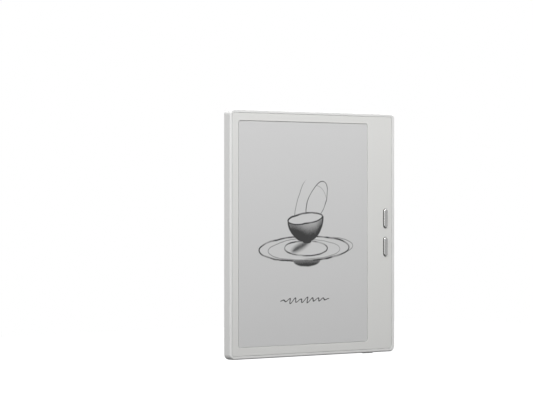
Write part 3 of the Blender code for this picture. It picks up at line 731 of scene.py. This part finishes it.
tongue_black = mixed(tongue_wires, wear, (0.02, 0.02, 0.021, 1.0), (0.035, 0.035, 0.037, 1.0))
mixed(tongue_wires, gilt, tongue_black, (0.85, 0.62, 0.25, 1.0)).feed(tongue_shader, "Base Color")
gilt.feed(tongue_shader, "Metallic")
(0.5 - gilt * 0.25 + wear * 0.08).feed(tongue_shader, "Roughness")
tongue = carved(tongue_base, ("UNION", blade), ("UNION", together(*contacts)))
piece("charging_tongue", tongue, tongue_finish, "reader", "black_plastic", "usb_c_tongue", fine=0)

# ---------------------------------------------------------------- Sound gauzes
# Woven steel gauze, blackened and cut to a rounded strip. One is stuck to the inside of the rim behind
# each row of sound holes, to keep dust out of the speaker.
gauze, gauze_shader, gauze_wires = finish("black_gauze", {"Metallic": 0.6, "Roughness": 0.45})
THREAD = 0.16
across_y = along(gauze_wires, "Y") * (tau / (THREAD * MM))
across_z = along(gauze_wires, "Z") * (tau / (THREAD * MM))
threads = (across_y.sine() * across_z.sine() + 1.0) * 0.5
mixed(gauze_wires, threads, (0.012, 0.012, 0.013, 1.0), (0.11, 0.11, 0.115, 1.0)).feed(
    gauze_shader, "Base Color")
bumped(gauze_wires, gauze_shader, threads, 0.03)
for name in ("upper", "lower"):
    low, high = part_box("speaker_mesh_" + name)
    piece("sound_gauze_" + name, slab(low / MM, high / MM, "X", 0.6, 4), gauze, "reader", "speaker_gauze",
          "speaker_mesh_" + name, fine=0.04)

# ---------------------------------------------------------------- Card tray
# A moulded tray in the rim's own plastic: a cap that fills its recess, with the eject pinhole in it,
# on a thin blade with an open pocket for the memory card.
CAP_HALF = (1.15, 8.025)
CAP_X = (67.5, 68.45)
BLADE = ((47.3, -3.05, 20.6), (67.7, -2.25, 33.2))
CARD_X = (49.4, 64.6)
CARD_Z = 26.9
CARD_HALF = 5.55
PINHOLE = 0.45
PAST_CAP = 70.0
tray_cap = slab((CAP_X[0], TRAY_Y - CAP_HALF[0], TRAY_Z - CAP_HALF[1]),
                (CAP_X[1], TRAY_Y + CAP_HALF[0], TRAY_Z + CAP_HALF[1]), "X", 0.6, 6)
tray_blade = slab(*BLADE, "X", 0.15, 2)
card_pocket = slab((CARD_X[0], -4.0, CARD_Z - CARD_HALF), (CARD_X[1], -1.0, CARD_Z + CARD_HALF), "Y", 0.7, 4)
pinhole = pill((66.0, TRAY_Y - PINHOLE, PINHOLE_Z - PINHOLE),
               (PAST_CAP, TRAY_Y + PINHOLE, PINHOLE_Z + PINHOLE), "X", 8)
tray = carved(tray_cap, ("UNION", tray_blade), ("DIFFERENCE", card_pocket), ("DIFFERENCE", pinhole))
piece("tray_with_cap", tray, frame_plastic, "tray", "frame_plastic", "card_tray", fine=0.1)

# ---------------------------------------------------------------- Back
# A thin cover closes the back. Two white skins with a fine leather grain are bonded to it, a wide one
# and a strip, with rounded corners, and a narrow smooth ridge of the cover stands between them.
SKIN_Y = (-0.45, 0.0)
RIDGE = (42.3, 43.6)
RIDGE_GAP = 0.2
COVER_Y = (-0.95, -0.5)
COVER_HALF = (66.4, 75.9)
SKIN_HALF = (66.3, 75.8)
cover_plastic = moulded("cover_plastic", (0.79, 0.79, 0.785), 0.45)
cover = slab((-COVER_HALF[0], COVER_Y[0], -COVER_HALF[1]), (COVER_HALF[0], COVER_Y[1], COVER_HALF[1]),
             "Y", 1.4, 6)
ridge = slab((RIDGE[0], -0.7, -COVER_HALF[1]), (RIDGE[1], RIM_BACK_Y, COVER_HALF[1]), "Y")
round_edges(ridge, 0.3, 4, lambda edge: lies_at(edge, "Y", RIM_BACK_Y) and runs_along(edge, "Z"))
piece("back_sheet", carved(cover, ("UNION", ridge)), cover_plastic, "reader", "cover_plastic", "back_cover")

leather, leather_shader, leather_wires = finish("white_leather_grain", {"IOR": 1.48})
GRAIN_DRIFT = 1.2
GRAIN_SCALE = 1150.0
grain_place = leather_wires.node("TexCoord", {}, {}, "Object")
drift = noise(leather_wires, 2.2, 2.0)
drift_way = leather_wires.node("CombineXYZ", {}, {0: drift, 1: drift, 2: -drift})
grain_place = leather_wires.node("VectorMath", {"operation": "MULTIPLY_ADD"},
                                 {0: drift_way, 1: [GRAIN_DRIFT * MM] * 3, 2: grain_place})
pebbles = leather_wires.node("TexVoronoi", {"feature": "DISTANCE_TO_EDGE"},
                             {"Vector": grain_place, "Scale": GRAIN_SCALE, "Randomness": 1.0})
creases = pebbles.fade(0.0, 0.34)
hills = noise(leather_wires, 1.7, 3.0, 0.6)
relief = creases * 0.5 + hills * 0.8
mixed(leather_wires, creases * 0.7 + hills * 0.3, (0.79, 0.79, 0.785, 1.0), (0.86, 0.86, 0.855, 1.0)).feed(
    leather_shader, "Base Color")
(0.46 + creases * 0.08).feed(leather_shader, "Roughness")
bumped(leather_wires, leather_shader, relief, 0.03)
for name, x_low, x_high in (("wide", -SKIN_HALF[0], RIDGE[0] - RIDGE_GAP),
                            ("strip", RIDGE[1] + RIDGE_GAP, SKIN_HALF[0])):
    skin = slab((x_low, SKIN_Y[0], -SKIN_HALF[1]), (x_high, SKIN_Y[1], SKIN_HALF[1]), "Y", 1.3, 6)
    round_edges(skin, 0.2, 3, lambda edge: lies_at(edge, "Y", SKIN_Y[1]))
    piece("grained_skin_" + name, skin, leather, "reader", "back_texture", "back_skin_" + name, fine=0)


def dress(made, *names):
    """Give CAD nodes a finish."""
    for name in names:
        for place in nodes[name].material_slots:
            place.material = made


guide, guide_shader, guide_wires = finish("etched_acrylic", {"Roughness": 0.12, "IOR": 1.49})
dots = guide_wires.node("TexVoronoi", {"feature": "F1"},
                        {"Vector": guide_wires.node("TexCoord", {}, {}, "Object"), "Scale": 900.0,
                         "Randomness": 0.15}).fade(0.3, 0.2)
mixed(guide_wires, dots, (0.72, 0.75, 0.76, 1.0), (0.93, 0.94, 0.94, 1.0)).feed(guide_shader, "Base Color")
bumped(guide_wires, guide_shader, dots, 0.01)
dress(guide, "light_guide")

ink_glass, ink_shader, ink_wires = finish("ink_panel_glass", {"Roughness": 0.2, "Coat Roughness": 0.05})
capsules = noise(ink_wires, 0.25, 2.0, 0.7)
mixed(ink_wires, capsules, (0.4, 0.4, 0.39, 1.0), (0.58, 0.58, 0.57, 1.0)).feed(ink_shader, "Base Color")
bumped(ink_wires, ink_shader, capsules, 0.002)
dress(ink_glass, "eink_panel")

lamps, lamp_shader, lamp_wires = finish("lamp_strip", {"Roughness": 0.4})
LAMP_PITCH = 6.0
lamp_row = (along(lamp_wires, "X") * (tau / (LAMP_PITCH * MM))).sine().fade(0.35, 0.5)
mixed(lamp_wires, lamp_row, (0.8, 0.79, 0.75, 1.0), (0.86, 0.7, 0.2, 1.0)).feed(lamp_shader, "Base Color")
bumped(lamp_wires, lamp_shader, lamp_row, 0.05)
dress(lamps, "front_light_strip")

# ---------------------------------------------------------------- Midplate and stamped steel
# The midplate is pressed magnesium sheet. The shields over the radio and the processor, the card
# socket and the switch bodies are stamped from thin tinned steel, rolled in one direction.
def rolled(name, color, roughness, direction_stretch):
    """Sheet metal with fine rolling lines."""
    made, shader, wires = finish(name, {"Metallic": 1.0})
    lines = noise(wires, 0.5, 4.0, 0.7, direction_stretch)
    stains = noise(wires, 9.0, 3.0)
    mixed(wires, lines * 0.5 + stains * 0.5, [channel * 0.8 for channel in color] + [1.0],
          [*color, 1.0]).feed(shader, "Base Color")
    (roughness + stains * 0.12 - lines * 0.05).feed(shader, "Roughness")
    bumped(wires, shader, lines, 0.002)
    return made


dress(rolled("midplate_sheet", (0.6, 0.61, 0.62), 0.38, (1.0, 1.0, 0.05)), "midplate")
dress(rolled("tinned_steel", (0.7, 0.69, 0.67), 0.27, (0.05, 1.0, 1.0)), "processor_shield", "radio_shield",
      "card_socket", "page_switch_upper", "page_switch_lower", "power_switch")

# ---------------------------------------------------------------- Boards and chips
# Green fibreglass boards with fine copper tracks under the lacquer, and moulded black chips soldered
# to them. The connectors are nylon.
board, board_shader, board_wires = finish("lacquered_board", {"Roughness": 0.35, "Coat Weight": 0.3})
board_place = board_wires.node("TexCoord", {}, {}, "Object")
track_cells = board_wires.node("TexVoronoi", {"feature": "F1", "distance": "MANHATTAN"},
                               {"Vector": board_place, "Scale": 260.0, "Randomness": 0.9})
tracks = (track_cells * 30.0).sine().fade(0.2, 0.6)
vias = board_wires.node("TexVoronoi", {"feature": "F1"},
                        {"Vector": board_place, "Scale": 420.0, "Randomness": 0.8}).fade(0.14, 0.09)
lacquer = mixed(board_wires, tracks, (0.012, 0.085, 0.045, 1.0), (0.03, 0.17, 0.085, 1.0))
mixed(board_wires, vias, lacquer, (0.72, 0.55, 0.28, 1.0)).feed(board_shader, "Base Color")
bumped(board_wires, board_shader, tracks + vias, 0.012)
dress(board, "main_board", "page_switch_board", "battery_board")
dress(moulded("chip_epoxy", (0.035, 0.036, 0.038), 0.45, 0.15, 0.003), "memory_chip", "power_chip",
      "motion_sensor")
dress(moulded("cream_nylon", (0.62, 0.57, 0.45), 0.5, 0.25, 0.002), "display_connector", "touch_connector",
      "battery_plug")
dress(black_plastic, "speaker_upper", "speaker_lower")

# ---------------------------------------------------------------- Flexible circuits, antenna and leads
# Amber polyimide film with parallel copper tracks joins the display, the touch layer and the page
# switches to the main board. The leads are stranded wire in coloured sleeves.
polyimide, poly_shader, poly_wires = finish("polyimide_film", {"Roughness": 0.3})
poly_place = poly_wires.node("TexCoord", {}, {}, "Object")
poly_sum = poly_wires.node("VectorMath", {"operation": "DOT_PRODUCT"},
                           {0: poly_place, 1: (1.0, 0.0, 1.0)}, "Value")
TRACK_PITCH = 0.7
copper_lines = (poly_sum * (tau / (TRACK_PITCH * MM))).sine().fade(-0.1, 0.4)
mixed(poly_wires, copper_lines, (0.42, 0.19, 0.035, 1.0), (0.66, 0.36, 0.12, 1.0)).feed(
    poly_shader, "Base Color")
bumped(poly_wires, poly_shader, copper_lines, 0.015)
dress(polyimide, "display_flex", "touch_flex", "key_flex", "antenna")
dress(moulded("red_sleeve", (0.5, 0.03, 0.025), 0.4, 0.3, 0.002), "battery_lead")
dress(moulded("black_sleeve", (0.03, 0.03, 0.03), 0.4, 0.3, 0.002), "antenna_lead")

# ---------------------------------------------------------------- Battery
# A flat lithium pouch cell in laminated foil, which is soft and faintly creased. It is stuck to the
# midplate with tape.
foil, foil_shader, foil_wires = finish("pouch_foil", {"Metallic": 0.85})
folds = noise(foil_wires, 5.0, 5.0, 0.7)
dimples = noise(foil_wires, 0.6, 2.0)
mixed(foil_wires, folds, (0.42, 0.43, 0.44, 1.0), (0.6, 0.61, 0.62, 1.0)).feed(foil_shader, "Base Color")
(0.3 + dimples * 0.15).feed(foil_shader, "Roughness")
bumped(foil_wires, foil_shader, folds + dimples * 0.15, 0.08)
dress(foil, "battery")

# ---------------------------------------------------------------- Screws
# Small zinc-plated machine screws, turned from steel: four go through the rim's tabs into the
# midplate, and four hold the main board to its bosses.
screw_steel = blasted("plated_screw_steel", (0.56, 0.56, 0.55), 0.3, 0.1, 0.001)
dress(screw_steel, *[kind + "_screw_" + str(count) for kind in ("frame", "board") for count in range(1, 5)])
